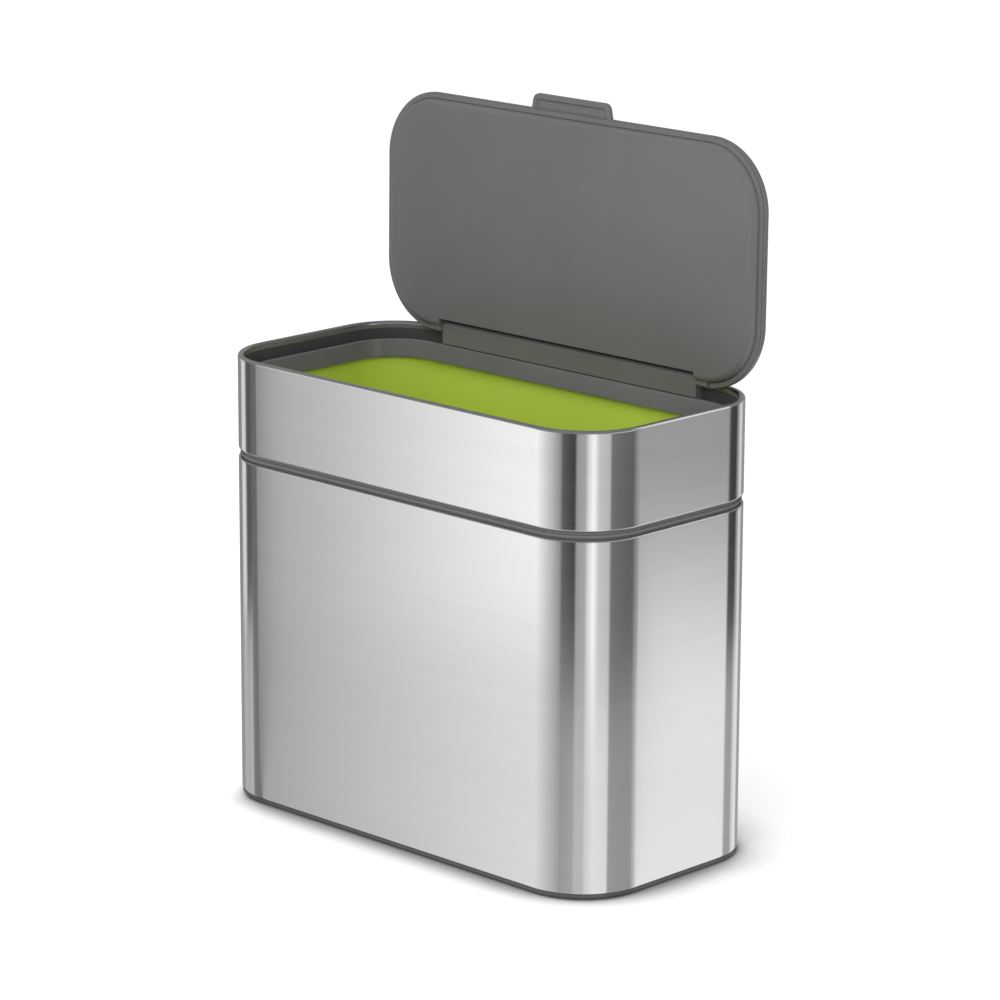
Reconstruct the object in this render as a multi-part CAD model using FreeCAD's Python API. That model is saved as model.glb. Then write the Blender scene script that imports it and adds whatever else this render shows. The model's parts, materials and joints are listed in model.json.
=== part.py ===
import FreeCAD, Part
import math
import os

# Compost caddy: a steel shell on a plastic base, a bucket that lifts out of it, and a steel collar that
# lifts off the bucket and carries a hinged lid.
# Millimetres, +Z up. The origin lies on the worktop under the middle of the body, and +Y points to the
# rear, where the hinge is. The lid is drawn shut and then swung open to its rest.
# An inset is measured inwards from an outline, a level is a height above the worktop.

# Body outline and sheet steel
body_width = 240.0
body_depth = 120.0
body_corner = 32.0
sheet = 0.6
fold_radius = 0.9

# Gaps: between pieces fastened together, pieces that slide past each other, and a pin in its bore
fixed_gap = 0.1
slide_gap = 0.3
pin_gap = 0.05
overrun = 1.0

# Heights up the body
foot_proud = 0.5
base_edge = 2.0
shell_height = 160.2
seam_height = 3.9
collar_height = 44.4

# Base and floor
base_inset = 0.3
base_round = 0.8
base_border = 8.0
hem_width = 6.4
floor_thick = 2.0
rib_wall = 1.6
rib_height = 4.0
boss_radius = 2.4
boss_height = 5.0
foot_inset = 9.0
foot_width = 6.0
foot_seat = 0.8

# Base screws
base_screw_radius = 1.4
base_screw_head = 2.4
base_screw_head_height = 1.2
base_screw_length = 8.0
base_screw_inset = 3.9
base_screw_side_share = 0.62

# Ring in the top of the shell, and the trim in the seam
shell_lip = 1.3
ring_wall = 2.3
ring_height = 22.0
neck_inset = 1.7
neck_height = 0.8
trim_inset = 0.8
trim_height = 1.4
trim_round = 0.6

# Bucket
bucket_wall = 1.5
bucket_taper = 2.7
bucket_floor = 1.8
bucket_round = 8.0

# Collar and the frame inside it
bead_radius = 1.45
collar_lip = 2.3
spigot_wall = 1.2
spigot_depth = 10.6
step_thick = 2.0
frame_wall = 1.8
recess_depth = 7.5
gutter_depth = 1.5
ledge_thick = 1.8
mouth_wall = 1.4
mouth_height = 8.7
mouth_round = 0.7

# Hinge
barrel_radius = 2.05
pin_radius = 1.0
pin_lift = 1.45
pin_reach = 6.0
hinge_margin = 8.0
ear_length = 7.0
ear_drop = 2.6
leaf_foot_height = 5.0
leaf_gap = 0.5
hinge_screw_radius = 1.0
hinge_screw_head = 2.0
hinge_screw_head_height = 1.2
hinge_screw_length = 6.0
hinge_screw_shares = (-0.75, -0.25, 0.25, 0.75)

# Lid
lid_inset = 2.7
lid_front_inset = 3.8
lid_corner = 32.0
lid_open_degrees = 90.5
cover_height = 4.7
cover_skin = 3.0
cover_round = 3.3
cover_wall = 1.4
panel_inset = 2.8
panel_reach = 3.1
panel_thick = 1.6
panel_wall = 1.6
panel_round = 3.0
panel_border = 8.0
notch_gap = 1.8
flap_thick = 1.0
flap_reach = 0.95
gasket_drop = 0.6

# Finger tab
tab_width = 49.3
tab_tip_width = 46.5
tab_reach = 6.9
tab_thick = 2.4
tab_corner = 3.6
tab_border = 2.6
tab_hollow = 0.8
tab_hollow_corner = 1.2

# Levels that follow from the heights
shell_bottom = foot_proud + base_edge
shell_top = shell_bottom + shell_height
floor_top = shell_bottom + sheet + floor_thick
trim_bottom = shell_top + neck_height
trim_top = trim_bottom + trim_height
collar_bottom = shell_top + seam_height
rim_top = collar_bottom + collar_height
bead_level = rim_top - bead_radius
ledge_top = rim_top - recess_depth
gutter_level = ledge_top - gutter_depth
ledge_bottom = gutter_level - ledge_thick
mouth_bottom = ledge_top - mouth_height
cover_edge = rim_top + slide_gap
cover_top = cover_edge + cover_height
skin_bottom = cover_top - cover_skin
panel_face = cover_edge - panel_reach
pin_level = rim_top + pin_lift

# Insets that follow from the walls, from the steel inwards
lining_inset = sheet + fixed_gap
ring_inner = lining_inset + ring_wall
spigot_outer = ring_inner + slide_gap
spigot_inner = spigot_outer + spigot_wall
bucket_outer = spigot_inner + slide_gap
bucket_inner = bucket_outer + bucket_wall
mouth_outer = bucket_inner + slide_gap
mouth_inset = mouth_outer + mouth_wall
recess_inset = 2 * bead_radius

# Places along the hinge
leaf_half = body_width / 2 - body_corner - hinge_margin
leaf_front = body_depth / 2 - mouth_inset
pin_y = leaf_front + barrel_radius
notch_half = leaf_half + slide_gap
notch_edge = leaf_front - notch_gap
lid_front = lid_front_inset - body_depth / 2
lid_rear = body_depth / 2 - lid_inset

BODY = (body_width, body_depth, body_corner)
LID = (body_width - 2 * lid_inset, lid_rear - lid_front, lid_corner)
UP = FreeCAD.Vector(0, 0, 1)
RIGHT = FreeCAD.Vector(1, 0, 0)
FORWARD = FreeCAD.Vector(0, -1, 0)


def vec(x, y, z):
    return FreeCAD.Vector(x, y, z)


def box(low, high):
    """Box between two opposite corners."""
    size = high - low
    return Part.makeBox(size.x, size.y, size.z, low)


def rod(radius, length, start, direction):
    return Part.makeCylinder(radius, length, start, direction)


def joined(first, others):
    return first.fuse(others).removeSplitter()


def rounded_wire(corners):
    """Closed wire through corners of (point, radius), each corner an arc of its radius or sharp at 0."""
    starts = []
    ends = []
    arcs = []
    for here, (point, radius) in enumerate(corners):
        before = (corners[here - 1][0] - point).normalize()
        after = (corners[(here + 1) % len(corners)][0] - point).normalize()
        half_angle = before.getAngle(after) / 2
        cut = radius / math.tan(half_angle)
        start = point + before * cut
        end = point + after * cut
        middle = point + (before + after).normalize() * (radius / math.sin(half_angle) - radius)
        starts.append(start)
        ends.append(end)
        arcs.append(Part.Arc(start, middle, end).toShape() if radius else None)
    edges = []
    for here, arc in enumerate(arcs):
        if arc:
            edges.append(arc)
        target = starts[(here + 1) % len(starts)]
        if not ends[here].isEqual(target, Part.Precision.confusion()):
            edges.append(Part.LineSegment(ends[here], target).toShape())
    return Part.Wire(edges)


def loop(outline, section):
    """Carry a section of (inset, level, radius) corners once round a rounded rectangle."""
    width, depth, corner = outline
    corners = [(vec(width / 2 - inset, 0, level), radius) for inset, level, radius in section]
    face = Part.Face(rounded_wire(corners))
    centre = vec(width / 2 - corner, depth / 2 - corner, 0)
    side = face.extrude(vec(0, centre.y, 0))
    face.translate(vec(0, centre.y, 0))
    bend = face.revolve(centre, UP, 90)
    face.rotate(centre, UP, 90)
    end = face.extrude(vec(-centre.x, 0, 0))
    quarter = side.fuse([bend, end])
    half = quarter.fuse(quarter.mirror(vec(0, 0, 0), RIGHT))
    return joined(half, half.mirror(vec(0, 0, 0), FORWARD))


def slab(outline, inset, low, high):
    """Flat slab inside a rounded rectangle."""
    width, depth, corner = outline
    x = width / 2 - inset
    y = depth / 2 - inset
    places = (vec(-x, -y, low), vec(x, -y, low), vec(x, y, low), vec(-x, y, low))
    wire = rounded_wire([(place, corner - inset) for place in places])
    return Part.Face(wire).extrude(vec(0, 0, high - low))


def ring(outline, outer, inner, low, high):
    """Plain upright ring between two insets."""
    return loop(outline, [(outer, low, 0), (outer, high, 0), (inner, high, 0), (inner, low, 0)])


def both_sides(shape):
    """The shape and its mirror image across the middle."""
    return [shape, shape.mirror(vec(0, 0, 0), RIGHT)]


# Lower body


def base_screw_places():
    """Places of the base screws round the hem, in plan."""
    x = body_width / 2 - base_screw_inset
    y = body_depth / 2 - base_screw_inset
    side = base_screw_side_share * (body_width / 2 - body_corner)
    right = [vec(x, 0, 0), vec(side, -y, 0), vec(side, y, 0)]
    left = [vec(-x, 0, 0), vec(-side, -y, 0), vec(-side, y, 0)]
    return right + left


def base_screw_bores(gap):
    radius = base_screw_radius + gap
    length = boss_height + floor_top
    low = vec(0, 0, foot_proud - overrun)
    return [rod(radius, length, low + place, UP) for place in base_screw_places()]


def outer_shell():
    section = [
        (0, shell_bottom, fold_radius),
        (0, shell_top, fold_radius),
        (shell_lip, shell_top, 0),
        (shell_lip, shell_top - sheet, 0),
        (sheet, shell_top - sheet, fold_radius - sheet),
        (sheet, shell_bottom + sheet, fold_radius - sheet),
        (hem_width, shell_bottom + sheet, 0),
        (hem_width, shell_bottom, 0),
    ]
    return loop(BODY, section).cut(base_screw_bores(fixed_gap))


def base_pan():
    edge = [
        (base_inset, foot_proud, base_round),
        (base_inset, shell_bottom, 0),
        (base_border, shell_bottom, 0),
        (base_border, foot_proud, 0),
    ]
    pan = joined(loop(BODY, edge), slab(BODY, base_border, foot_proud, shell_bottom))
    seat = ring(BODY, foot_inset, foot_inset + foot_width, foot_proud - overrun, foot_proud + foot_seat)
    head = base_screw_head + fixed_gap
    start = vec(0, 0, foot_proud)
    sinks = [rod(head, base_screw_head_height, start + place, UP) for place in base_screw_places()]
    return pan.cut([seat] + sinks + base_screw_bores(fixed_gap))


def floor_plate():
    rib_inner = bucket_outer + bucket_taper - slide_gap
    plate = slab(BODY, fold_radius + fixed_gap, shell_bottom + sheet, floor_top)
    rib = ring(BODY, rib_inner - rib_wall, rib_inner, floor_top, floor_top + rib_height)
    start = vec(0, 0, floor_top)
    bosses = [rod(boss_radius, boss_height, start + place, UP) for place in base_screw_places()]
    return joined(plate, [rib] + bosses).cut(base_screw_bores(pin_gap))


def base_screws():
    screws = []
    for place in base_screw_places():
        start = place + vec(0, 0, foot_proud)
        head = rod(base_screw_head, base_screw_head_height, start, UP)
        screws.append(head.fuse(rod(base_screw_radius, base_screw_length, start, UP)))
    return Part.makeCompound(screws)


def foot_ring():
    return ring(BODY, foot_inset + fixed_gap, foot_inset + foot_width - fixed_gap, 0, foot_proud + foot_seat)


def shell_ring():
    shoulder = shell_top - sheet - fixed_gap
    section = [
        (lining_inset, shell_top - ring_height, 0),
        (lining_inset, shoulder, 0),
        (neck_inset, shoulder, 0),
        (neck_inset, trim_bottom, 0),
        (ring_inner, trim_bottom, 0),
        (ring_inner, shell_top - ring_height, 0),
    ]
    return loop(BODY, section)


def seam_trim():
    lip_top = collar_bottom - slide_gap
    section = [
        (trim_inset, trim_bottom, trim_round),
        (trim_inset, trim_top, trim_round),
        (neck_inset, trim_top, 0),
        (neck_inset, lip_top, 0),
        (ring_inner, lip_top, 0),
        (ring_inner, trim_bottom, 0),
    ]
    return loop(BODY, section)


# Bucket


def inner_bucket():
    low_outer = bucket_outer + bucket_taper
    floor_inset = low_outer + bucket_round
    wall = [
        (bucket_outer, ledge_bottom, 0),
        (low_outer, floor_top, bucket_round),
        (floor_inset, floor_top, 0),
        (floor_inset, floor_top + bucket_floor, 0),
        (low_outer + bucket_wall, floor_top + bucket_floor, bucket_round - bucket_wall),
        (bucket_inner, ledge_bottom, 0),
    ]
    return joined(loop(BODY, wall), slab(BODY, floor_inset, floor_top, floor_top + bucket_floor))


# Collar


def upper_collar():
    section = [
        (0, collar_bottom, fold_radius),
        (0, rim_top, bead_radius),
        (recess_inset, rim_top, bead_radius),
        (recess_inset, bead_level - sheet, 0),
        (recess_inset - sheet, bead_level - sheet, 0),
        (recess_inset - sheet, rim_top - sheet, bead_radius - sheet),
        (sheet, rim_top - sheet, bead_radius - sheet),
        (sheet, collar_bottom + sheet, fold_radius - sheet),
        (collar_lip, collar_bottom + sheet, 0),
        (collar_lip, collar_bottom, 0),
    ]
    return loop(BODY, section)


def hinge_screw_places():
    """Where the hinge screws enter the frame's rear wall, from the outside."""
    y = body_depth / 2 - lining_inset
    level = ledge_top + leaf_foot_height / 2
    return [vec(share * leaf_half, y, level) for share in hinge_screw_shares]


def hinge_screw_bores(gap):
    radius = hinge_screw_radius + gap
    return [rod(radius, hinge_screw_length + gap, place, FORWARD) for place in hinge_screw_places()]


def rim_frame():
    step_bottom = collar_bottom + sheet + fixed_gap
    wall_top = bead_level - sheet - fixed_gap
    section = [
        (spigot_outer, collar_bottom - spigot_depth, 0),
        (spigot_outer, step_bottom, 0),
        (lining_inset, step_bottom, 0),
        (lining_inset, wall_top, 0),
        (recess_inset, wall_top, 0),
        (recess_inset, gutter_level, 0),
        (mouth_outer, gutter_level, 0),
        (mouth_outer, ledge_top, 0),
        (mouth_inset, ledge_top, mouth_round),
        (mouth_inset, mouth_bottom, 0),
        (mouth_outer, mouth_bottom, 0),
        (mouth_outer, ledge_bottom, 0),
        (lining_inset + frame_wall, ledge_bottom, 0),
        (lining_inset + frame_wall, step_bottom + step_thick, 0),
        (spigot_inner, step_bottom + step_thick, 0),
        (spigot_inner, collar_bottom - spigot_depth, 0),
    ]
    head = hinge_screw_head + fixed_gap
    sinks = [rod(head, hinge_screw_head_height, place, FORWARD) for place in hinge_screw_places()]
    return loop(BODY, section).cut(sinks + hinge_screw_bores(fixed_gap))


def pin_bore(radius, length):
    """Rod along the hinge axis, centred on the middle of the lid."""
    return rod(radius, length, vec(-length / 2, pin_y, pin_level), RIGHT)


def hinge_leaf():
    back = pin_y + barrel_radius
    front_bottom = ledge_top + leaf_gap
    foot_front = body_depth / 2 - mouth_outer + fixed_gap
    foot_back = body_depth / 2 - recess_inset - fixed_gap
    foot_top = ledge_top + leaf_foot_height
    barrel_top = pin_level + barrel_radius
    corners = [
        (vec(-leaf_half, leaf_front, front_bottom), 0),
        (vec(-leaf_half, foot_front, front_bottom), 0),
        (vec(-leaf_half, foot_front, gutter_level), 0),
        (vec(-leaf_half, foot_back, gutter_level), 0),
        (vec(-leaf_half, foot_back, foot_top), 0),
        (vec(-leaf_half, back, foot_top), 0),
        (vec(-leaf_half, back, barrel_top), barrel_radius),
        (vec(-leaf_half, leaf_front, barrel_top), barrel_radius),
    ]
    leaf = Part.Face(rounded_wire(corners)).extrude(vec(2 * leaf_half, 0, 0))
    return leaf.cut([pin_bore(pin_radius + pin_gap, 2 * notch_half)] + hinge_screw_bores(pin_gap))


def hinge_screws():
    screws = []
    for place in hinge_screw_places():
        head = rod(hinge_screw_head, hinge_screw_head_height, place, FORWARD)
        screws.append(head.fuse(rod(hinge_screw_radius, hinge_screw_length, place, FORWARD)))
    return Part.makeCompound(screws)


def hinge_pin():
    return pin_bore(pin_radius, 2 * (leaf_half + pin_reach))


# Lid, drawn shut


def lid_placed(shape):
    """Move a piece from the body's middle to the lid's, because the lid stands further back at the front."""
    shape.translate(vec(0, (lid_front + lid_rear) / 2, 0))
    return shape


def hinge_notch():
    """The clearance in the lid's rear edge for the hinge leaf, under a thin flap that hides the barrel."""
    low = vec(-notch_half, notch_edge, ledge_top)
    under = box(low, vec(notch_half, body_depth, cover_top - flap_thick))
    low.y = pin_y + flap_reach
    behind = box(low, vec(notch_half, body_depth, cover_top + overrun))
    return [under, behind]


def ear_blocks(gap):
    """Bosses on both sides of the notch that hold the ends of the hinge pin."""
    radius = barrel_radius + gap
    start = vec(notch_half - gap, pin_y, pin_level)
    length = ear_length + 2 * gap
    low = start - vec(0, radius, ear_drop + gap)
    high = vec(start.x + length, pin_y + radius, skin_bottom + gap)
    return both_sides(box(low, high))


def finger_tab():
    """Tab on the front edge, with a shallow hollow on its underside."""
    root_half = tab_width / 2
    tip_half = tab_tip_width / 2
    root = lid_front + cover_wall
    tip = lid_front - tab_reach

    def blade(border, corner, thick):
        corners = [
            (vec(border - root_half, root, cover_edge), 0),
            (vec(border - tip_half, tip + border, cover_edge), corner),
            (vec(tip_half - border, tip + border, cover_edge), corner),
            (vec(root_half - border, root, cover_edge), 0),
        ]
        return Part.Face(rounded_wire(corners)).extrude(vec(0, 0, thick))

    hollow = blade(tab_border, tab_hollow_corner, tab_hollow)
    inside = lid_placed(slab(LID, 0, cover_edge, cover_edge + tab_hollow))
    return blade(0, tab_corner, tab_thick).cut(hollow.cut(inside))


def lid_cover():
    edge = [
        (0, cover_edge, 0),
        (0, cover_top, cover_round),
        (panel_border, cover_top, 0),
        (panel_border, skin_bottom, 0),
        (cover_wall, skin_bottom, 0),
        (cover_wall, cover_edge, 0),
    ]
    cover = lid_placed(joined(loop(LID, edge), slab(LID, panel_border, skin_bottom, cover_top)))
    cover = joined(cover.cut(hinge_notch()), [finger_tab()] + ear_blocks(0))
    return cover.cut(pin_bore(pin_radius + pin_gap, 2 * (leaf_half + pin_reach + slide_gap)))


def lid_panel():
    edge = [
        (panel_inset, panel_face, panel_round),
        (panel_inset, skin_bottom, 0),
        (panel_inset + panel_wall, skin_bottom, 0),
        (panel_inset + panel_wall, panel_face + panel_thick, 0),
        (panel_border, panel_face + panel_thick, 0),
        (panel_border, panel_face, 0),
    ]
    face = slab(LID, panel_border, panel_face, panel_face + panel_thick)
    tray = lid_placed(joined(loop(LID, edge), face))
    walls = box(
        vec(-notch_half - panel_wall, notch_edge - panel_wall, panel_face),
        vec(notch_half + panel_wall, lid_rear - panel_inset - panel_round, skin_bottom),
    )
    return joined(tray, walls).cut(hinge_notch() + ear_blocks(fixed_gap))


def lid_gasket():
    root_outer = cover_wall + fixed_gap
    root_inner = panel_inset - fixed_gap
    tip = recess_inset - lid_inset + slide_gap
    lip_level = cover_edge - gasket_drop
    section = [
        (root_outer, skin_bottom - fixed_gap, 0),
        (root_inner, skin_bottom - fixed_gap, 0),
        (root_inner, lip_level, 0),
        (tip, lip_level, 0),
        (tip, cover_edge - fixed_gap, 0),
        (root_outer, cover_edge - fixed_gap, 0),
    ]
    half = notch_half + ear_length + slide_gap
    gap = box(vec(-half, 0, panel_face), vec(half, body_depth, cover_top))
    return lid_placed(loop(LID, section)).cut(gap)


def swung_open(shape):
    """Turn a lid piece from shut to its open rest about the hinge axis."""
    shape.rotate(vec(0, pin_y, pin_level), RIGHT, -lid_open_degrees)
    return shape


pieces = {
    "outer_shell": outer_shell(),
    "base_pan": base_pan(),
    "floor_plate": floor_plate(),
    "base_screws": base_screws(),
    "foot_ring": foot_ring(),
    "shell_ring": shell_ring(),
    "seam_trim": seam_trim(),
    "inner_bucket": inner_bucket(),
    "upper_collar": upper_collar(),
    "rim_frame": rim_frame(),
    "hinge_leaf": hinge_leaf(),
    "hinge_screws": hinge_screws(),
    "hinge_pin": hinge_pin(),
    "lid_cover": swung_open(lid_cover()),
    "lid_panel": swung_open(lid_panel()),
    "lid_gasket": swung_open(lid_gasket()),
}

os.makedirs("parts", exist_ok=True)
for name, piece in pieces.items():
    piece.exportStep("parts/" + name + ".step")
    print(name, "solids", len(piece.Solids), "valid", piece.isValid(), "volume", round(piece.Volume, 1))
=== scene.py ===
import json
import math

import bmesh
import bpy
from mathutils import Matrix, Vector


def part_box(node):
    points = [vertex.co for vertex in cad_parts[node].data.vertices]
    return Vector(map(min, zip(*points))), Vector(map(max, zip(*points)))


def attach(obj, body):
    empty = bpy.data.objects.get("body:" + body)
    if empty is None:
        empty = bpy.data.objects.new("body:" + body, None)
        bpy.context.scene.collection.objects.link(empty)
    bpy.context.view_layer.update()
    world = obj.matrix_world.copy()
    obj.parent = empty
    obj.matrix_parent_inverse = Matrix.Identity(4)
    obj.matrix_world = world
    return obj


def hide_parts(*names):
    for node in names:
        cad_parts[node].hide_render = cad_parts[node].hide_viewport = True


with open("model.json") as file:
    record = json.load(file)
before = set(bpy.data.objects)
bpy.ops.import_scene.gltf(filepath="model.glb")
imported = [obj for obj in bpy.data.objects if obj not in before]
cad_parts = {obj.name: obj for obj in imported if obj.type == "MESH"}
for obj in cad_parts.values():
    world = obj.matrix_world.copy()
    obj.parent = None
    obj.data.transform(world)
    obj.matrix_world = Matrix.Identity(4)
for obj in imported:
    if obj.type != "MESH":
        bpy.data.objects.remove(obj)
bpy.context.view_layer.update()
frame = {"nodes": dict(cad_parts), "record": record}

# Looks of the compost caddy. Lengths are in millimetres, and MM turns them to metres.
# An inset is measured inwards from an outline, a level is a height above the worktop, and a section is a list
# of (inset, level, radius) corners. The lid's pieces are drawn shut and swung open about the hinge pin.
MM = 0.001


def node_box(node):
    """Lowest and highest corners of a CAD node, in millimetres."""
    low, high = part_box(node)
    return low / MM, high / MM


# Places taken from the frame
SHELL_LOW, SHELL_HIGH = node_box("outer_shell")
RING_LOW, RING_HIGH = node_box("shell_ring")
TRIM_LOW, TRIM_HIGH = node_box("seam_trim")
FOOT_LOW, FOOT_HIGH = node_box("foot_ring")
BUCKET_LOW, BUCKET_HIGH = node_box("inner_bucket")
COLLAR_LOW, COLLAR_HIGH = node_box("upper_collar")
RIM_LOW = node_box("rim_frame")[0]
LEAF_LOW, LEAF_HIGH = node_box("hinge_leaf")
BASE_SCREW_LOW, BASE_SCREW_HIGH = node_box("base_screws")
HINGE_SCREW_HIGH = node_box("hinge_screws")[1]
HINGE = next(joint for joint in frame["record"]["behaviour"]["joints"] if joint["name"] == "lid_hinge")
PIN_Y = HINGE["pos_m"][1] / MM
PIN_LEVEL = HINGE["pos_m"][2] / MM
LID_OPEN = math.radians(HINGE["range_deg"][1])

# Outlines as width, depth, corner radius and how far to the rear the middle lies
CORNER = 32.0
BODY = (SHELL_HIGH.x - SHELL_LOW.x, SHELL_HIGH.y - SHELL_LOW.y, CORNER, 0.0)
LID_SIDE_INSET = 2.7
LID_FRONT_INSET = 3.8
LID_REACH = BODY[1] - LID_SIDE_INSET - LID_FRONT_INSET
LID = (BODY[0] - 2 * LID_SIDE_INSET, LID_REACH, CORNER, (LID_FRONT_INSET - LID_SIDE_INSET) / 2)
LID_FRONT = LID_FRONT_INSET - BODY[1] / 2
CORNER_STEPS = 48

# Sheet steel, with the radius of its folds and of the bead round the mouth
SHEET = 0.6
FOLD = 0.9
BEAD = 1.45

# Gaps round pieces that fit loosely and round pieces that touch
CLEAR = 0.1
TOUCH = 0.05

# Rim frame inside the collar
RECESS = 2 * BEAD
GUTTER = BUCKET_HIGH.z + 1.8
CREST = GUTTER + 1.5
MOUTH_BOTTOM = CREST - 8.5
MOUTH_OUTER = 6.6
MOUTH_INNER = 8.0
MOUTH_LEAN = 1.5

# Lid, shut
COVER_EDGE = COLLAR_HIGH.z + 0.3
COVER_TOP = COVER_EDGE + 4.7
SKIN_BOTTOM = COVER_TOP - 3.0
PANEL_FACE = COVER_EDGE - 3.1
COVER_WALL = 1.4
PANEL_INSET = 2.8
FLAP = 1.0
BARREL = 2.05
NOTCH_HALF = LEAF_HIGH.x + 0.3
NOTCH_EDGE = LEAF_LOW.y - 1.8
FLAP_EDGE = PIN_Y + 0.95
EAR_LENGTH = 7.0
EAR_DROP = 2.6
FAR = 40.0


# Small tools


def linear(colour):
    """sRGB hex to linear RGBA."""
    parts = [int(colour[i : i + 2], 16) / 255 for i in (1, 3, 5)]
    return [p / 12.92 if p <= 0.04045 else ((p + 0.055) / 1.055) ** 2.4 for p in parts] + [1.0]


def add(tree, kind, inputs=(), stops=(), **settings):
    """Add a node with its settings, its inputs as values or links, and a ramp's (place, colour) stops."""
    made = tree.nodes.new(kind)
    for key, value in settings.items():
        setattr(made, key, value)
    for key, value in dict(inputs).items():
        if isinstance(value, bpy.types.NodeSocket):
            tree.links.new(value, made.inputs[key])
        else:
            made.inputs[key].default_value = value
    for here, (place, colour) in enumerate(stops):
        elements = made.color_ramp.elements
        element = elements[here] if here < len(elements) else elements.new(place)
        element.position = place
        element.color = linear(colour)
    return made


def new_material(name):
    """New material with an empty node tree."""
    material = bpy.data.materials.new(name)
    material.use_nodes = True
    material.node_tree.nodes.clear()
    return material, material.node_tree


# Finishes


def brushed_steel():
    """Stainless sheet brushed along its length.

    The level hairlines stretch reflections up and down and leave them crisp from side to side, so the
    corners show upright bands. Real hairlines are about 0.1 mm apart, too fine to show, so they are drawn
    0.35 mm apart.
    """
    material, tree = new_material("brushed_stainless_sheet")
    hairline_pitch = 0.35
    hairline_length = 60.0
    streak_pitch = 7.0
    streak_length = 260.0
    place = add(tree, "ShaderNodeTexCoord").outputs["Object"]
    layers = []
    for pitch, length, detail in ((hairline_pitch, hairline_length, 4.0), (streak_pitch, streak_length, 2.0)):
        along = 1 / (length * MM)
        stretch = add(tree, "ShaderNodeMapping", {"Vector": place, "Scale": (along, along, 1 / (pitch * MM))})
        layer = {"Vector": stretch.outputs["Vector"], "Scale": 1.0, "Detail": detail, "Roughness": 0.6}
        layers.append(add(tree, "ShaderNodeTexNoise", layer).outputs["Fac"])
    hairlines, streaks = layers
    mixed = add(tree, "ShaderNodeMix", {"Factor": 0.35, "A": hairlines, "B": streaks}, data_type="FLOAT")
    tones = ((0.25, "#d8dad9"), (0.75, "#e1e3e2"))
    tone = add(tree, "ShaderNodeValToRGB", {"Fac": mixed.outputs["Result"]}, tones).outputs["Color"]
    worn = {"Value": hairlines, "From Min": 0.3, "From Max": 0.7, "To Min": 0.155, "To Max": 0.185}
    rough = add(tree, "ShaderNodeMapRange", worn)
    bump = add(tree, "ShaderNodeBump", {"Height": hairlines, "Strength": 0.04, "Distance": 0.01 * MM})
    tangent = add(tree, "ShaderNodeTangent", direction_type="RADIAL", axis="Z")
    steel = {
        "Base Color": tone,
        "Metallic": 1.0,
        "Roughness": rough.outputs["Result"],
        "Anisotropic": 0.85,
        "Anisotropic Rotation": 0.25,
        "Tangent": tangent.outputs["Tangent"],
        "Normal": bump.outputs["Normal"],
    }
    surface = add(tree, "ShaderNodeBsdfPrincipled", steel)
    add(tree, "ShaderNodeOutputMaterial", {"Surface": surface.outputs["BSDF"]})
    return material


def moulded(name, dark, light, roughness, grain, depth, **sockets):
    """Moulded finish: one colour with faint flow marks, and the mould's grain in its gloss and relief.

    Grain is the size of its pits and depth is how deep they are, in millimetres.
    """
    material, tree = new_material(name)
    flow_size = 60.0
    gloss_spread = 0.05
    place = add(tree, "ShaderNodeTexCoord").outputs["Object"]
    marks = {"Vector": place, "Scale": 1 / (flow_size * MM), "Detail": 4.0, "Roughness": 0.55}
    flow = add(tree, "ShaderNodeTexNoise", marks).outputs["Fac"]
    pits = {"Vector": place, "Scale": 1 / (grain * MM), "Detail": 2.0, "Roughness": 0.5}
    skin = add(tree, "ShaderNodeTexNoise", pits).outputs["Fac"]
    mixed = add(tree, "ShaderNodeMix", {"Factor": 0.3, "A": flow, "B": skin}, data_type="FLOAT")
    tones = ((0.3, dark), (0.7, light))
    tone = add(tree, "ShaderNodeValToRGB", {"Fac": mixed.outputs["Result"]}, tones).outputs["Color"]
    gloss = {
        "Value": skin,
        "From Min": 0.3,
        "From Max": 0.7,
        "To Min": roughness - gloss_spread,
        "To Max": roughness + gloss_spread,
    }
    rough = add(tree, "ShaderNodeMapRange", gloss)
    bump = add(tree, "ShaderNodeBump", {"Height": skin, "Strength": 0.25, "Distance": depth * MM})
    inputs = {
        "Base Color": tone,
        "Roughness": rough.outputs["Result"],
        "Normal": bump.outputs["Normal"],
        **sockets,
    }
    surface = add(tree, "ShaderNodeBsdfPrincipled", inputs)
    add(tree, "ShaderNodeOutputMaterial", {"Surface": surface.outputs["BSDF"]})
    return material


steel = brushed_steel()
# Satin grey ABS of the lid, guide ring and hinge strip: a soft sheen over a fine even grain
grey_abs = moulded(
    "grey_moulded_abs", "#636363", "#6a6a6a", roughness=0.36, grain=0.9, depth=0.02, IOR=1.53
)
# The same ABS from a polished mould, on the rim: sharper sheen, so its corners show upright lights
polished_abs = moulded(
    "grey_polished_abs", "#636363", "#6a6a6a", roughness=0.2, grain=0.9, depth=0.006, IOR=1.53
)
# Dark grey polypropylene of the base: darker than the lid and a little waxy
dark_pp = moulded(
    "dark_moulded_polypropylene", "#535353", "#595959", roughness=0.5, grain=0.9, depth=0.03, IOR=1.49
)
# Green polypropylene of the bucket: strong even colour with a waxy sheen
green_pp = moulded(
    "green_moulded_polypropylene", "#b9d048", "#c1d850", roughness=0.5, grain=0.9, depth=0.02, IOR=1.49
)
# Grey rubber of the seam ring and the lid's seal: no shine, softened edges
soft_grey = moulded(
    "grey_soft_rubber", "#656565", "#6e6e6e", roughness=0.65, grain=0.8, depth=0.03, IOR=1.52
)
# Painted shade: a dark rubber sheet laid in the rim's recess, with no shine, so the recess shows dark as
# though shaded
painted_shade_rubber = moulded(
    "dark_soft_rubber", "#3e3e3e", "#464646", roughness=0.65, grain=0.8, depth=0.03, IOR=1.52
)
# Black rubber of the foot: dull and slightly dusty
soft_black = moulded(
    "black_soft_rubber", "#262626", "#2c2c2c", roughness=0.7, grain=0.8, depth=0.04, IOR=1.52
)
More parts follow.
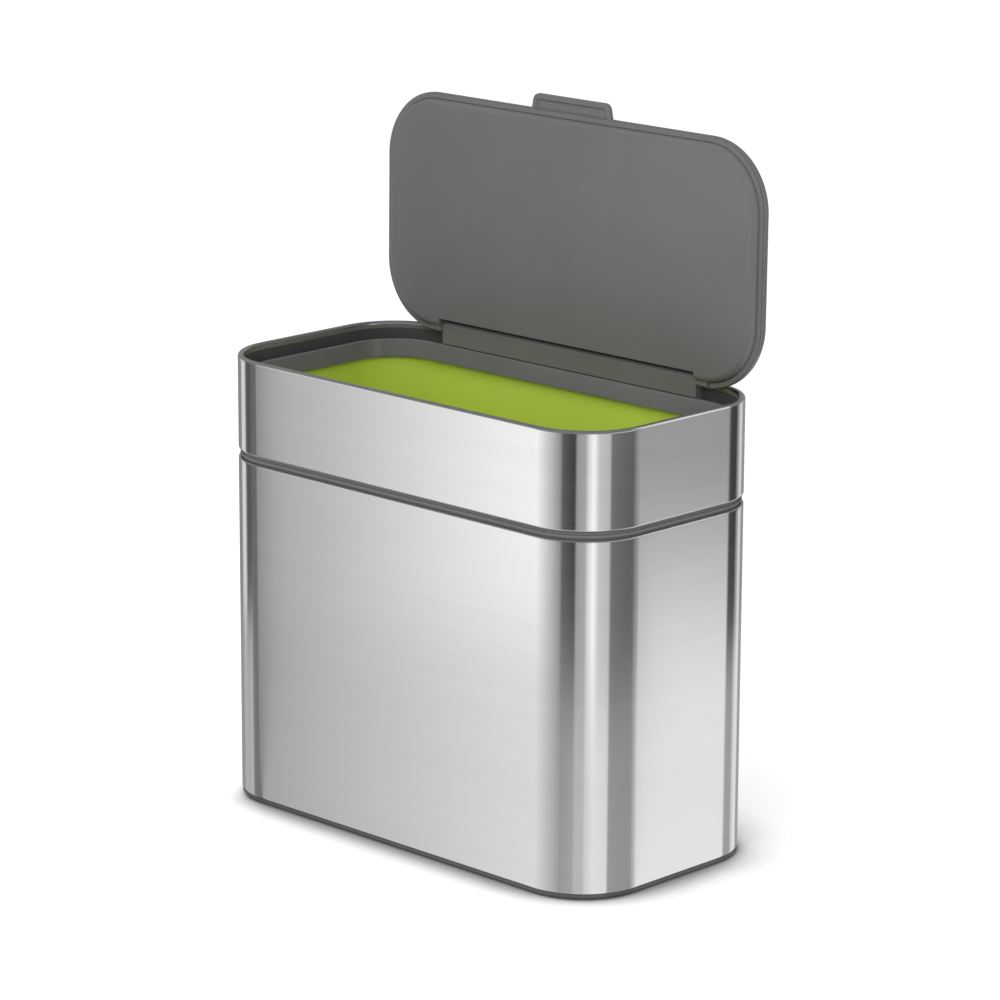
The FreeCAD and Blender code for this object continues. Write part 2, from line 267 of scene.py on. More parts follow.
# Zinc-plated steel of the screws and the hinge pin: pale bluish metal
zinc_steel = moulded(
    "zinc_plated_steel", "#9a9ba0", "#a8a9ad", roughness=0.35, grain=0.6, depth=0.02, Metallic=1.0
)


# Shapes


def rounded(corners, closed=True):
    """Points along a line through (x, y, radius) corners, with each corner turned into an arc."""
    fewest_steps = 3
    step_degrees = 10
    points = []
    count = len(corners)
    for here, (x, y, radius) in enumerate(corners):
        point = Vector((x, y))
        if not radius or (not closed and here in (0, count - 1)):
            points.append(point)
            continue
        before = (Vector(corners[here - 1][:2]) - point).normalized()
        after = (Vector(corners[(here + 1) % count][:2]) - point).normalized()
        half_angle = before.angle(after) / 2
        cut = radius / math.tan(half_angle)
        centre = point + (before + after).normalized() * (radius / math.sin(half_angle))
        start = point + before * cut - centre
        turn = start.angle_signed(point + after * cut - centre)
        steps = max(fewest_steps, math.ceil(abs(math.degrees(turn)) / step_degrees))
        points += [centre + Matrix.Rotation(-turn * i / steps, 2) @ start for i in range(steps + 1)]
    return points


def new_tree(name, *sockets):
    """Empty geometry node tree with named inputs of (name, kind)."""
    tree = bpy.data.node_groups.new(name, "GeometryNodeTree")
    for label, kind in sockets:
        tree.interface.new_socket(label, in_out="INPUT", socket_type="NodeSocket" + kind)
    tree.interface.new_socket("Made", in_out="OUTPUT", socket_type="NodeSocketGeometry")
    return tree, add(tree, "NodeGroupInput").outputs


def close_tree(tree, geometry, finish):
    """End a geometry node tree in real geometry with its finish."""
    whole = add(tree, "GeometryNodeRealizeInstances", {"Geometry": geometry})
    faced = add(tree, "GeometryNodeSetMaterial", {"Geometry": whole.outputs["Geometry"], "Material": finish})
    add(tree, "NodeGroupOutput", {"Made": faced.outputs["Geometry"]})
    return tree


def outline_sweep():
    """Geometry nodes that carry a section, drawn as a chain of edges, round a rounded rectangle."""
    tree, given = new_tree(
        "section_round_outline",
        ("Section", "Geometry"),
        ("Width", "Float"),
        ("Depth", "Float"),
        ("Corner", "Float"),
        ("Corner Steps", "Int"),
        ("Finish", "Material"),
    )
    oblong = {"Width": given["Width"], "Height": given["Depth"]}
    path = add(tree, "GeometryNodeCurvePrimitiveQuadrilateral", oblong, mode="RECTANGLE").outputs["Curve"]
    bends = {"Curve": path, "Count": given["Corner Steps"], "Radius": given["Corner"]}
    bent = add(tree, "GeometryNodeFilletCurve", bends, mode="POLY").outputs["Curve"]
    section = add(tree, "GeometryNodeMeshToCurve", {"Mesh": given["Section"]}).outputs["Curve"]
    swept = add(tree, "GeometryNodeCurveToMesh", {"Curve": bent, "Profile Curve": section})
    return close_tree(tree, swept.outputs["Mesh"], given["Finish"])


def screw_setter():
    """Geometry nodes that set a screw at every vertex of a mesh, turned the way it is driven."""
    tree, given = new_tree(
        "screws_at_places",
        ("Places", "Geometry"),
        ("Screw", "Object"),
        ("Turn", "Rotation"),
        ("Finish", "Material"),
    )
    screw = add(tree, "GeometryNodeObjectInfo", {"Object": given["Screw"]}).outputs["Geometry"]
    spots = add(tree, "GeometryNodeMeshToPoints", {"Mesh": given["Places"]}).outputs["Points"]
    copies = {"Points": spots, "Instance": screw, "Rotation": given["Turn"]}
    placed = add(tree, "GeometryNodeInstanceOnPoints", copies)
    return close_tree(tree, placed.outputs["Instances"], given["Finish"])


def linked(name, mesh):
    """New object that holds a mesh, in the scene."""
    made = bpy.data.objects.new(name, mesh)
    bpy.context.scene.collection.objects.link(made)
    return made


def plain_mesh(scratch):
    """Plain mesh of an object with its modifiers applied. The object is removed."""
    graph = bpy.context.evaluated_depsgraph_get()
    mesh = bpy.data.meshes.new_from_object(
        scratch.evaluated_get(graph), preserve_all_data_layers=True, depsgraph=graph
    )
    bpy.data.objects.remove(scratch)
    return mesh


def made_by(tree, mesh, values):
    """Plain mesh that a geometry node tree makes from a mesh, with the tree's inputs set by name."""
    scratch = linked(tree.name, mesh)
    modifier = scratch.modifiers.new(tree.name, "NODES")
    modifier.node_group = tree
    for socket in tree.interface.items_tree:
        if socket.in_out == "INPUT" and socket.name in values:
            modifier[socket.identifier] = values[socket.name]
    return plain_mesh(scratch)


def worked(mesh, kind, **settings):
    """The mesh after one modifier."""
    scratch = linked("scratch", mesh)
    modifier = scratch.modifiers.new(kind, kind)
    for key, value in settings.items():
        setattr(modifier, key, value)
    return plain_mesh(scratch)


def combined(mesh, operation, *others):
    """The mesh with other closed meshes joined to it (UNION) or taken out of it (DIFFERENCE)."""
    for other in others:
        tool = linked("tool", other)
        mesh = worked(mesh, "BOOLEAN", operation=operation, solver="EXACT", object=tool)
        bpy.data.objects.remove(tool)
    return mesh


def from_faces(build):
    """Mesh of the faces that a function draws, with its normals outwards."""
    solid = bmesh.new()
    build(solid)
    bmesh.ops.recalc_face_normals(solid, faces=solid.faces)
    mesh = bpy.data.meshes.new(build.__name__)
    solid.to_mesh(mesh)
    solid.free()
    return mesh


SWEEP = outline_sweep()
SCREWS = screw_setter()


def band(outline, section, finish, closed=True):
    """Mesh of a section swept round an outline.

    An open section runs from one flat middle to another, and both middles are filled.
    """
    points = rounded(section, closed)
    count = len(points)
    edges = [(i, (i + 1) % count) for i in range(count if closed else count - 1)]
    chain = bpy.data.meshes.new("section")
    chain.from_pydata([(-p.x * MM, -p.y * MM, 0) for p in points], edges, [])
    width, depth, corner, back = outline
    sizes = {
        "Width": width * MM,
        "Depth": depth * MM,
        "Corner": corner * MM,
        "Corner Steps": CORNER_STEPS,
        "Finish": finish,
    }
    swept = made_by(SWEEP, chain, sizes)

    def swept_band(solid):
        solid.from_mesh(swept)
        if not closed:
            bmesh.ops.holes_fill(solid, edges=[edge for edge in solid.edges if edge.is_boundary])
        bmesh.ops.translate(solid, verts=solid.verts, vec=(0, back * MM, 0))

    return from_faces(swept_band)


def prism(profile, start, end):
    """Mesh of a (y, level) profile carried along X."""

    def carried(solid):
        face = solid.faces.new([solid.verts.new((start * MM, y * MM, z * MM)) for y, z in profile])
        pushed = bmesh.ops.extrude_face_region(solid, geom=[face])["geom"]
        moved = [part for part in pushed if isinstance(part, bmesh.types.BMVert)]
        bmesh.ops.translate(solid, verts=moved, vec=((end - start) * MM, 0, 0))

    return from_faces(carried)


def block(low, high):
    """Box mesh between two corners."""
    (x0, y0, z0), (x1, y1, z1) = low, high
    return prism([(y0, z0), (y1, z0), (y1, z1), (y0, z1)], x0, x1)


def softened(mesh, width):
    """The mesh with its sharp edges rounded over."""
    return worked(
        mesh, "BEVEL", width=width * MM, segments=3, limit_method="ANGLE", angle_limit=math.radians(40)
    )


def piece(name, mesh, finish, body, slot, *nodes):
    """Finished piece that rides on a body and stands for CAD nodes."""
    mesh.polygons.foreach_set("use_smooth", [True] * len(mesh.polygons))
    mesh.set_sharp_from_angle(angle=math.radians(32))
    mesh = worked(mesh, "WEIGHTED_NORMAL", keep_sharp=True)
    mesh.name = name
    mesh.materials.clear()
    mesh.materials.append(finish)
    made = linked(name, mesh)
    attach(made, body)
    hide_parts(*nodes)


def swung_open(mesh):
    """Turn a lid mesh from shut to its open rest about the hinge pin."""
    pin = Vector((0, PIN_Y, PIN_LEVEL)) * MM
    mesh.transform(Matrix.Translation(pin) @ Matrix.Rotation(-LID_OPEN, 4, "X") @ Matrix.Translation(-pin))
    return mesh


# Screws


def screw(head, head_height, shank, length):
    """Pan-head screw with a cross recess, its head's face at level 0 and its shank upwards."""
    crown = 0.35
    tip = 0.6
    profile = [
        (0, 0),
        (head - crown, 0),
        (head, crown),
        (head, head_height),
        (shank, head_height),
        (shank, length - tip),
        (shank - tip, length),
        (0, length),
    ]
    steps = 32

    def turned(solid):
        verts = [solid.verts.new((radius * MM, 0, level * MM)) for radius, level in profile]
        line = [solid.edges.new(pair) for pair in zip(verts, verts[1:])]
        turn = {"cent": (0, 0, 0), "axis": (0, 0, 1), "angle": math.tau, "steps": steps}
        bmesh.ops.spin(solid, geom=verts + line, **turn)
        bmesh.ops.remove_doubles(solid, verts=solid.verts, dist=0.001 * MM)

    arm = 0.62 * head
    slot = 0.16 * head
    depth = 0.55 * head_height
    outside = -1.0
    across = block((-arm, -slot, outside), (arm, slot, depth))
    along = block((-slot, -arm, outside), (slot, arm, depth))
    return combined(from_faces(turned), "DIFFERENCE", across, along)


def screws(name, body, node, pattern, places, turn):
    """Set of like screws at their places."""
    chain = bpy.data.meshes.new(name)
    chain.from_pydata([Vector(place) * MM for place in places], [], [])
    sample = linked("sample", pattern)
    values = {"Screw": sample, "Turn": turn, "Finish": zinc_steel}
    mesh = made_by(SCREWS, chain, values)
    bpy.data.objects.remove(sample)
    piece(name, mesh, zinc_steel, body, "screw_steel", node)


# Lower body


def lower_body():
    top_edge = 1.3
    hem = 6.4
    shell = [
        (0, SHELL_LOW.z, FOLD),
        (0, SHELL_HIGH.z, FOLD),
        (top_edge, SHELL_HIGH.z, 0),
        (top_edge, SHELL_HIGH.z - SHEET, 0),
        (SHEET, SHELL_HIGH.z - SHEET, FOLD - SHEET),
        (SHEET, SHELL_LOW.z + SHEET, FOLD - SHEET),
        (hem, SHELL_LOW.z + SHEET, 0),
        (hem, SHELL_LOW.z, 0),
    ]
    piece("steel_shell", band(BODY, shell, steel), steel, "body", "steel", "outer_shell")
    shoulder = SHELL_HIGH.z - SHEET - CLEAR
    neck = 1.7
    inside = 3.0
    ring = [
        (SHEET + CLEAR, RING_LOW.z, 0),
        (SHEET + CLEAR, shoulder, 0),
        (neck, shoulder, 0),
        (neck, RING_HIGH.z, 0),
        (inside, RING_HIGH.z, 0.3),
        (inside, RING_LOW.z, 0.3),
    ]
    piece("guide_ring", band(BODY, ring, grey_abs), grey_abs, "body", "grey_plastic", "shell_ring")
    bulge = 0.8
    bulge_top = TRIM_LOW.z + 1.4
    trim = [
        (bulge, TRIM_LOW.z, 0.6),
        (bulge, bulge_top, 0.6),
        (neck, bulge_top, 0),
        (neck, TRIM_HIGH.z, 0.2),
        (inside, TRIM_HIGH.z, 0.2),
        (inside, TRIM_LOW.z, 0),
    ]
    piece("seam_ring", band(BODY, trim, soft_grey), soft_grey, "body", "soft_grey", "seam_trim")
    foot_outer = 9.1
    foot_inner = 14.9
    foot = [
        (foot_outer, FOOT_LOW.z, 0.5),
        (foot_outer, FOOT_HIGH.z, 0),
        (foot_inner, FOOT_HIGH.z, 0),
        (foot_inner, FOOT_LOW.z, 0.5),
    ]
    piece("rubber_foot", band(BODY, foot, soft_black), soft_black, "body", "soft_black", "foot_ring")
    head = 2.4
    end = BASE_SCREW_HIGH.x - head
    side = 0.62 * (BODY[0] / 2 - CORNER)
    back = BASE_SCREW_HIGH.y - head
    level = BASE_SCREW_LOW.z
    places = [(x, y, level) for x in (-side, side) for y in (-back, back)]
    places += [(-end, 0, level), (end, 0, level)]
    pattern = screw(head, head_height=1.2, shank=1.4, length=8.0)
    screws("base_cross_screws", "body", "base_screws", pattern, places, (0, 0, 0))


# Bucket


def bucket():
    under = BUCKET_LOW.z
    floor_top = under + 1.8
    flat = 17.0
    foot = 7.5
    rim = 4.8
    thick = 1.5
    wall = [
        (flat, under, 0),
        (foot, under, 8.0),
        (rim, BUCKET_HIGH.z, 0.5),
        (rim + thick, BUCKET_HIGH.z, 0.5),
        (foot + thick, floor_top, 6.5),
        (flat, floor_top, 0),
    ]
    mesh = band(BODY, wall, green_pp, closed=False)
    piece("green_bucket", mesh, green_pp, "bucket", "green_plastic", "inner_bucket")


# Collar


def collar():
    top = COLLAR_HIGH.z
    low = top - BEAD
    hem = 2.3
    sleeve = [
        (0, COLLAR_LOW.z, FOLD),
        (0, top, BEAD),
        (RECESS, top, BEAD),
        (RECESS, low, 0),
        (RECESS - SHEET, low, 0),
        (RECESS - SHEET, top - SHEET, BEAD - SHEET),
        (SHEET, top - SHEET, BEAD - SHEET),
        (SHEET, COLLAR_LOW.z + SHEET, FOLD - SHEET),
        (hem, COLLAR_LOW.z + SHEET, 0),
        (hem, COLLAR_LOW.z, 0),
    ]
    piece("steel_collar", band(BODY, sleeve, steel), steel, "collar", "steel", "upper_collar")
    step = COLLAR_LOW.z + SHEET + CLEAR
    step_top = step + 2.0
    spigot_outer = 3.3
    spigot_inner = 4.5
    wall_inner = 2.5
    rim = [
        (spigot_outer, RIM_LOW.z, 0.3),
        (spigot_outer, step, 0),
        (SHEET + CLEAR, step, 0),
        (SHEET + CLEAR, low - TOUCH, 0),
        (RECESS, low - TOUCH, 0.1),
        (RECESS, GUTTER, 0.4),
        (MOUTH_OUTER, GUTTER, 0.4),
        (MOUTH_OUTER, CREST, 0.2),
        (MOUTH_INNER, CREST, 0.7),
        (MOUTH_INNER + MOUTH_LEAN, MOUTH_BOTTOM, 0.4),
        (MOUTH_OUTER + MOUTH_LEAN, MOUTH_BOTTOM, 0.4),
        (MOUTH_OUTER, BUCKET_HIGH.z, 0),
        (wall_inner, BUCKET_HIGH.z, 0),
        (wall_inner, step_top, 0),
        (spigot_inner, step_top, 0),
        (spigot_inner, RIM_LOW.z, 0.3),
    ]
    piece("grey_rim", band(BODY, rim, polished_abs), polished_abs, "collar", "grey_plastic", "rim_frame")
    # Painted shade: a thin dark sheet along the recess, between the collar's bead and the rim's crest, stands
    # for the shade that falls there
    shade_sheet_top = top - 3.1
    shade_sheet_inner = RECESS + 0.45
    shade_sheet_floor = GUTTER + 0.35
    shade_sheet = [
        (RECESS + TOUCH, GUTTER + TOUCH, 0),
        (RECESS + TOUCH, shade_sheet_top, 0.15),
        (shade_sheet_inner, shade_sheet_top, 0.15),
        (shade_sheet_inner, shade_sheet_floor, 0.4),
        (MOUTH_OUTER - TOUCH, shade_sheet_floor, 0),
        (MOUTH_OUTER - TOUCH, GUTTER + TOUCH, 0),
    ]
    piece("recess_lining", band(BODY, shade_sheet, painted_shade_rubber), painted_shade_rubber, "collar", "soft_black")
    front = LEAF_LOW.y
    front_low = CREST + 0.5
    foot_front = front + MOUTH_INNER - MOUTH_OUTER + CLEAR
    foot_top = CREST + 5.0
    back = PIN_Y + BARREL
    leaf = [
        (front, front_low, 0),
        (foot_front, front_low, 0),
        (foot_front, LEAF_LOW.z, 0),
        (LEAF_HIGH.y, LEAF_LOW.z, 0),
        (LEAF_HIGH.y, foot_top, 0.5),
        (back, foot_top, 0),
        (back, LEAF_HIGH.z, BARREL),
        (front, LEAF_HIGH.z, BARREL),
    ]
    mesh = softened(prism(rounded(leaf), LEAF_LOW.x, LEAF_HIGH.x), width=0.2)
    piece("hinge_strip", mesh, grey_abs, "collar", "grey_plastic", "hinge_leaf")
    screw_level = CREST + 2.5
    shares = (-0.75, -0.25, 0.25, 0.75)
    places = [(share * LEAF_HIGH.x, HINGE_SCREW_HIGH.y, screw_level) for share in shares]
    pattern = screw(head=2.0, head_height=1.2, shank=1.0, length=6.0)
    screws("hinge_cross_screws", "collar", "hinge_screws", pattern, places, (math.pi / 2, 0, 0))


# Lid


def hinge_notch():
    """Room for the hinge strip in the lid's rear edge, under a thin flap that hides the barrel."""
    under = block((-NOTCH_HALF, NOTCH_EDGE, CREST), (NOTCH_HALF, FAR + PIN_Y, COVER_TOP - FLAP))
    behind = block((-NOTCH_HALF, FLAP_EDGE, CREST), (NOTCH_HALF, FAR + PIN_Y, COVER_TOP + FAR))
    return under, behind


def ears(gap):
    """Bosses on both sides of the notch that hold the ends of the pin."""
    front = PIN_Y - BARREL - gap
    back = PIN_Y + BARREL + gap
    low = PIN_LEVEL - EAR_DROP - gap
    overlap = 0.5
    high = SKIN_BOTTOM + overlap
    near = NOTCH_HALF - gap
    far = NOTCH_HALF + EAR_LENGTH + gap
    return block((near, front, low), (far, back, high)), block((-far, front, low), (-near, back, high))


def finger_tab():
    """Tab on the lid's front edge, with a shallow hollow under it whose ends slope."""
    tip_half = 23.25
    spread = 0.2
    tip = LID_FRONT - 6.9
    thick = 2.4

    def outline(root, border, corner, level):
        tip_width = tip_half + spread * border - border
        root_width = tip_half + spread * (root - tip) - border
        corners = [
            (-root_width, root, 0),
            (-tip_width, tip + border, corner),
            (tip_width, tip + border, corner),
            (root_width, root, 0),
        ]
        return [(p.x * MM, p.y * MM, level * MM) for p in rounded(corners)]

    def loft(solid, *outlines):
        rims = [[solid.verts.new(point) for point in line] for line in outlines]
        for first, second in zip(rims, rims[1:]):
            for here, point in enumerate(first):
                after = (here + 1) % len(first)
                solid.faces.new((point, first[after], second[after], second[here]))
        solid.faces.new(rims[0])
        solid.faces.new(rims[-1])

    def tab_blade(solid):
        root = LID_FRONT + COVER_WALL
        under = outline(root, border=0, corner=3.6, level=COVER_EDGE)
        top = outline(root, border=0, corner=3.6, level=COVER_EDGE + thick)
        loft(solid, under, top)

    def tab_hollow(solid):
        mouth = outline(LID_FRONT, border=2.0, corner=1.8, level=COVER_EDGE - 0.2)
        bed = outline(LID_FRONT, border=3.2, corner=0.8, level=COVER_EDGE + 0.8)
        loft(solid, mouth, bed)

    blade = softened(from_faces(tab_blade), width=0.5)
    return combined(blade, "DIFFERENCE", from_faces(tab_hollow))


def lid():
    flat = 12.0
    shell = [
        (flat, COVER_TOP, 0),
        (0, COVER_TOP, 3.3),
        (0, COVER_EDGE, 0.4),
        (COVER_WALL, COVER_EDGE, 0.3),
        (COVER_WALL, SKIN_BOTTOM, 0),
        (flat, SKIN_BOTTOM, 0),
    ]
    cover = combined(band(LID, shell, grey_abs, closed=False), "DIFFERENCE", *hinge_notch())
    cover = combined(cover, "UNION", finger_tab(), *ears(0))
    piece("lid_back", swung_open(cover), grey_abs, "lid", "grey_plastic", "lid_cover")
    tray = [
        (flat, SKIN_BOTTOM, 0),
        (PANEL_INSET, SKIN_BOTTOM, 0),
        (PANEL_INSET, PANEL_FACE, 3.0),
        (flat, PANEL_FACE, 0),
    ]
    panel = band(LID, tray, grey_abs, closed=False)
    panel = combined(panel, "DIFFERENCE", *hinge_notch(), *ears(CLEAR))
    piece("lid_inside", swung_open(panel), grey_abs, "lid", "grey_plastic", "lid_panel")
    tip = RECESS - LID_SIDE_INSET + 0.3
    lip_level = COVER_EDGE - 0.6
    lip = [
        (COVER_WALL + CLEAR, SKIN_BOTTOM - CLEAR, 0),
        (PANEL_INSET - CLEAR, SKIN_BOTTOM - CLEAR, 0),
        (PANEL_INSET - CLEAR, lip_level, 0.2),
        (tip, lip_level, 0.2),
        (tip, COVER_EDGE - CLEAR, 0.2),
        (COVER_WALL + CLEAR, COVER_EDGE - CLEAR, 0),
    ]
    reach = NOTCH_HALF + EAR_LENGTH + 0.3
    gap = block((-reach, 0, PANEL_FACE), (reach, FAR + PIN_Y, COVER_TOP))
    seal = combined(band(LID, lip, soft_grey), "DIFFERENCE", gap)
    piece("lid_seal", swung_open(seal), soft_grey, "lid", "soft_grey", "lid_gasket")


def plain_nodes():
    """Finishes of the CAD nodes that stay as they are."""
    for name, finish in (("base_pan", dark_pp), ("floor_plate", dark_pp), ("hinge_pin", zinc_steel)):
        materials = frame["nodes"][name].data.materials
        materials.clear()
        materials.append(finish)


lower_body()
bucket()
collar()
lid()
plain_nodes()


# Studio, in metres


def camera():
    """Camera at the photograph's place: long lens, front right, a little above the rim."""
    azimuth = math.radians(44.2111)
    elevation = math.radians(14.3943)
    roll = math.radians(0.2562)
    distance = 1.9487
    aim_right = 0.0064
    aim_level = 0.1517
    across = Vector((math.cos(azimuth), math.sin(azimuth), 0))
    level = math.cos(elevation)
    back = Vector((math.sin(azimuth) * level, -math.cos(azimuth) * level, math.sin(elevation)))
    up = back.cross(across)
    right = across * math.cos(roll) + up * math.sin(roll)
    top = up * math.cos(roll) - across * math.sin(roll)
    place = across * aim_right + Vector((0, 0, aim_level)) + back * distance
    lens = bpy.data.cameras.new("camera")
    lens.sensor_width = 36.0
    lens.lens = 154.43
    lens.clip_end = 50.0
    made = linked("camera", lens)
    turn = Matrix((right, top, back)).transposed().to_4x4()
    made.matrix_world = Matrix.Translation(place) @ turn
    bpy.context.scene.camera = made
    return place


def seen_by_eye(tree):
    """1 for rays that show a surface, straight, mirrored or through glass, and 0 for rays that light."""
    ray = add(tree, "ShaderNodeLightPath").outputs
    mirrored = {0: ray["Is Camera Ray"], 1: ray["Is Glossy Ray"]}
    seen = add(tree, "ShaderNodeMath", mirrored, operation="MAXIMUM")
    through = {0: seen.outputs["Value"], 1: ray["Is Transmission Ray"]}
    return add(tree, "ShaderNodeMath", through, operation="MAXIMUM").outputs["Value"]


def surround():
    """White world that lights the object evenly."""
    world = bpy.data.worlds.new("white_surround")
    bpy.context.scene.world = world
    world.use_nodes = True
    tree = world.node_tree
    tree.nodes.clear()
    strength = add(tree, "ShaderNodeMapRange", {"Value": seen_by_eye(tree), "To Min": 0.85, "To Max": 1.0})
    white = {"Color": linear("#ffffff"), "Strength": strength.outputs["Result"]}
    background = add(tree, "ShaderNodeBackground", white)
    add(tree, "ShaderNodeOutputWorld", {"Surface": background.outputs["Background"]})


def floor():
    """Pale matt floor that shows as white and keeps the shadow close to the object.

    Its contact shade is wider towards the rear, and fades out at the left end, on the main lamp's side.
    """
    reach = 6.0
    lift = 0.34
    shade_width = 0.03
    rear_shade_width = 0.065
    rear_start = 0.02
    rear_end = 0.07
    fade_start = -0.118
    fade_end = -0.098
    material, tree = new_material("white_matt_floor")
    spot = add(tree, "ShaderNodeTexCoord").outputs["Object"]
    place = add(tree, "ShaderNodeSeparateXYZ", {"Vector": spot}).outputs
    to_rear = {
        "Value": place["Y"],
        "From Min": rear_start,
        "From Max": rear_end,
        "To Min": shade_width,
        "To Max": rear_shade_width,
    }
    width = add(tree, "ShaderNodeMapRange", to_rear).outputs["Result"]
    open_share = add(tree, "ShaderNodeAmbientOcclusion", {"Distance": width}, samples=12).outputs["AO"]
    tones = ((0.5, "#6e6e6e"), (0.6, "#b8b8b8"), (0.68, "#e0e0e0"), (0.85, "#ffffff"))
    contact = add(tree, "ShaderNodeValToRGB", {"Fac": open_share}, tones).outputs["Color"]
    lamp_side = {"Value": place["X"], "From Min": fade_start, "From Max": fade_end}
    depth = add(tree, "ShaderNodeMapRange", lamp_side).outputs["Result"]
    fading = {"Factor": depth, "A": linear("#ffffff"), "B": contact}
    shade = add(tree, "ShaderNodeMix", fading, data_type="RGBA").outputs["Result"]
    seen = add(tree, "ShaderNodeMath", {0: seen_by_eye(tree), 1: lift}, operation="MULTIPLY")
    shaded = {"Factor": 1.0, "A": shade, "B": linear("#ebebeb")}
    paper = add(tree, "ShaderNodeMix", shaded, data_type="RGBA", blend_type="MULTIPLY")
    matt = {
        "Base Color": paper.outputs["Result"],
        "Roughness": 0.9,
        "Specular IOR Level": 0.0,
        "Emission Color": shade,
        "Emission Strength": seen.outputs["Value"],
    }
    surface = add(tree, "ShaderNodeBsdfPrincipled", matt)
    add(tree, "ShaderNodeOutputMaterial", {"Surface": surface.outputs["BSDF"]})
    mesh = bpy.data.meshes.new("floor")
    corners = [(-reach, -reach, 0), (reach, -reach, 0), (reach, reach, 0), (-reach, reach, 0)]
    mesh.from_pydata(corners, [], [(0, 1, 2, 3)])
    mesh.materials.append(material)
    linked("floor", mesh)


def wall_at(along):
    """Point of the steel wall and the way it faces, in plan.

    The place is a distance in millimetres along the wall from the middle of the front, to the right.
    """
    width, depth, corner, _ = BODY
    centre = Vector((width / 2 - corner, depth / 2 - corner))
    bend = corner * math.pi / 2
    run = abs(along) - centre.x
    if run < 0:
        point, turn = Vector((run + centre.x, -depth / 2)), 0.0
    elif run < bend:
        turn = run / corner
        point = Vector((centre.x + corner * math.sin(turn), -centre.y - corner * math.cos(turn)))
    elif run < bend + 2 * centre.y:
        point, turn = Vector((width / 2, run - bend - centre.y)), math.pi / 2
    else:
        turn = (run - 2 * centre.y) / corner
        point = Vector((centre.x + corner * math.sin(turn), centre.y - corner * math.cos(turn)))
    facing = Vector((math.sin(turn), -math.cos(turn)))
    if along < 0:
        point.x = -point.x
        facing.x = -facing.x
    return point * MM, facing


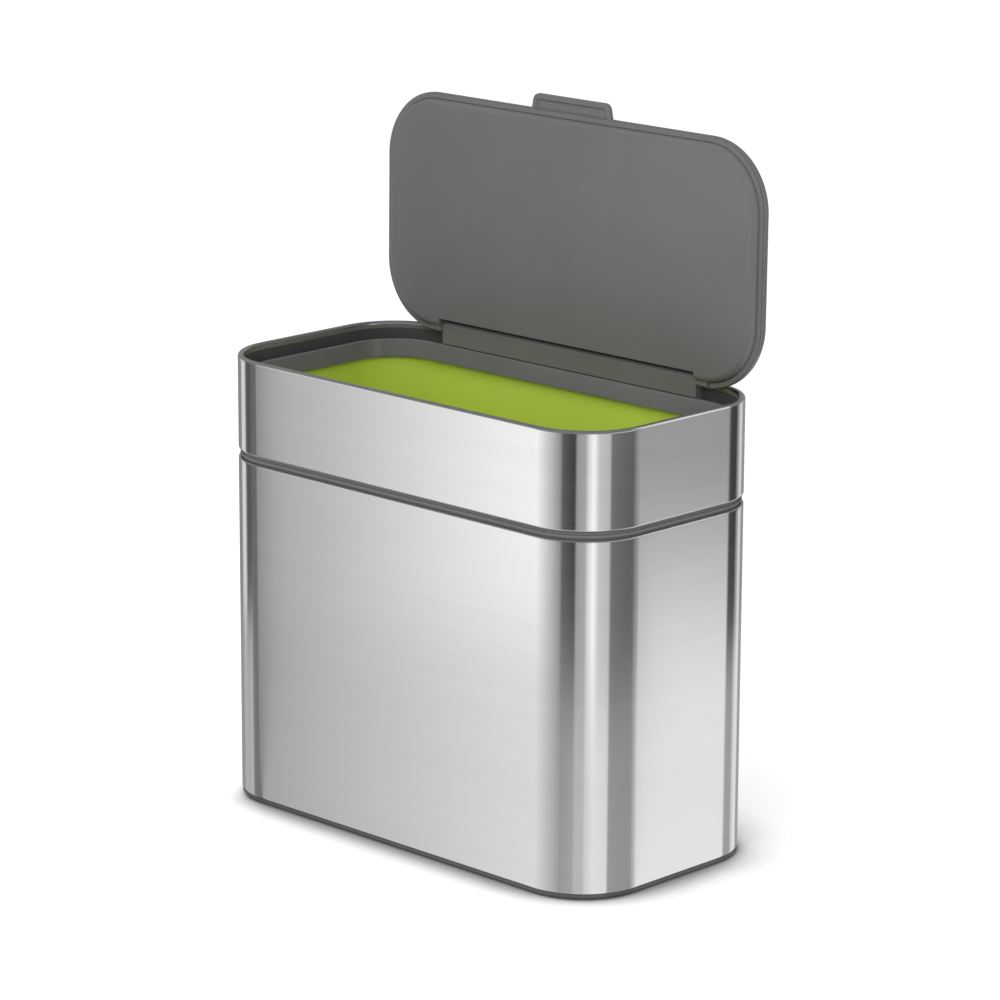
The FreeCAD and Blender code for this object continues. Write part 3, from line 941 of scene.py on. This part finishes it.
def light_tent(eye):
    """Round tent of light and dark cards with a floor strip before each, which only reflections see.

    A card stands where the steel between two places along the wall mirrors it to the camera. Its tones and
    its floor strip's are brightnesses at its two ends. Above each card is a head that the rolled edges
    mirror, given by its brightness and the height of its top, and a dark canopy closes the tent.
    """
    low_light = (1.1, 0.29)
    tall_light = (1.1, 0.55)
    dark_head = (0.25, 0.55)
    canopy = 0.22
    crisp = 0.001
    gradual = 0.100
    cards = (
        # card, places, card tones, floor tones, height of its fade, head
        ("rear_left_cloth", (-114, -101.5), (0.25, 0.30), (0.35, 0.35), crisp, dark_head),
        ("rear_left_strip", (-101.5, -97), (0.86, 0.86), (0.55, 0.55), crisp, dark_head),
        ("left_flag", (-97, -92.5), (0.12, 0.10), (0.50, 0.66), crisp, dark_head),
        ("left_edge", (-92.5, -86.5), (0.17, 0.17), (0.25, 0.17), crisp, dark_head),
        ("front_left", (-86.3, -45), (0.60, 0.66), (0.50, 0.62), crisp, low_light),
        ("front_sweep", (-45, 88.5), (0.66, 1.28), (0.62, 0.94), crisp, low_light),
        ("front_fall", (88.5, 101.6), (1.30, 0.32), (0.94, 0.44), crisp, dark_head),
        ("corner_flag", (101.6, 108), (0.13, 0.03), (0.43, 0.52), crisp, dark_head),
        ("corner_grey", (108, 112.5), (0.42, 0.50), (0.65, 0.65), crisp, dark_head),
        ("right_strip", (112.5, 115.8), (0.75, 1.38), (0.80, 0.95), crisp, dark_head),
        ("right_fall", (115.8, 118), (1.30, 0.72), (1.00, 1.00), crisp, dark_head),
        ("right_panel", (118, 123.1), (0.72, 0.64), (1.00, 0.95), crisp, dark_head),
        ("side_flag", (123.1, 135), (0.19, 0.12), (0.42, 0.38), crisp, low_light),
        ("side_edge", (135, 138.2), (0.24, 0.42), (0.42, 0.80), crisp, dark_head),
        ("side_panel", (138.2, 196.3), (0.40, 0.39), (1.05, 1.05), gradual, tall_light),
        ("rear_flag", (196.3, 202.3), (0.07, 0.04), (0.46, 0.44), crisp, dark_head),
        ("rear_edge", (202.3, 205.0), (0.22, 0.56), (0.80, 0.90), crisp, dark_head),
        ("rear_strip", (205.0, 208.0), (0.85, 0.85), (1.00, 1.00), crisp, dark_head),
        ("rear_cloth", (208.0, 219.0), (0.35, 0.30), (0.40, 0.40), crisp, dark_head),
    )
    radius = 0.42
    clear = 0.0005
    card_top = 0.20
    head_low = 0.24
    apex = 0.9
    steps = 6
    columns = []
    for _, places, card, strip, fade, (head_tone, head_top) in cards:
        for step in range(steps + 1):
            share = step / steps
            point, facing = wall_at(places[0] + (places[1] - places[0]) * share)
            view = point - eye.xy
            track = (view - 2 * view.dot(facing) * facing).normalized()
            ahead = -point.dot(track)
            foot = point + track * (ahead + math.sqrt(ahead**2 + radius**2 - point.length_squared))
            card_tone = card[0] + (card[1] - card[0]) * share
            strip_tone = strip[0] + (strip[1] - strip[0]) * share
            columns.append(
                [
                    ((*point, clear), strip_tone),
                    ((*foot, clear), strip_tone),
                    ((*foot, clear + fade), card_tone),
                    ((*foot, card_top), card_tone),
                    ((*foot, head_low), head_tone),
                    ((*foot, head_top), head_tone),
                    ((*foot, head_top), canopy),
                    ((0, 0, apex), canopy),
                ]
            )
    rows = len(columns[0])
    count = len(columns)
    faces = []
    for here in range(count):
        first = here * rows
        second = (here + 1) % count * rows
        faces += [(first + row, first + row + 1, second + row + 1, second + row) for row in range(rows - 1)]
    mesh = bpy.data.meshes.new("light_tent")
    mesh.from_pydata([place for column in columns for place, _ in column], [], faces)
    tones = [tone for column in columns for _, tone in column]
    mesh.attributes.new("tone", "FLOAT", "POINT").data.foreach_set("value", tones)
    material, tree = new_material("tent_cloth_and_cards")
    tone = add(tree, "ShaderNodeAttribute", attribute_name="tone").outputs["Fac"]
    glow = add(tree, "ShaderNodeEmission", {"Color": linear("#ffffff"), "Strength": tone})
    add(tree, "ShaderNodeOutputMaterial", {"Surface": glow.outputs["Emission"]})
    mesh.materials.append(material)
    tent = linked("light_tent", mesh)
    tent.visible_camera = False
    tent.visible_diffuse = False
    tent.visible_shadow = False


def lamp(name, place, size, energy):
    """Soft square lamp aimed at the object, which no reflection shows."""
    light = bpy.data.lights.new(name, "AREA")
    light.size = size
    light.energy = energy
    made = linked(name, light)
    middle = Vector((0, 0, 0.15))
    aim = middle - place
    made.matrix_world = Matrix.Translation(place) @ aim.to_track_quat("-Z", "Y").to_matrix().to_4x4()
    made.visible_glossy = False


eye = camera()
surround()
floor()
light_tent(eye)
lamp("soft_box", Vector((-0.7, -0.5, 1.3)), size=0.8, energy=5.0)
lamp("fill_panel", Vector((0.5, -0.6, 0.6)), size=0.6, energy=2.6)
bpy.context.scene.view_settings.view_transform = "Standard"
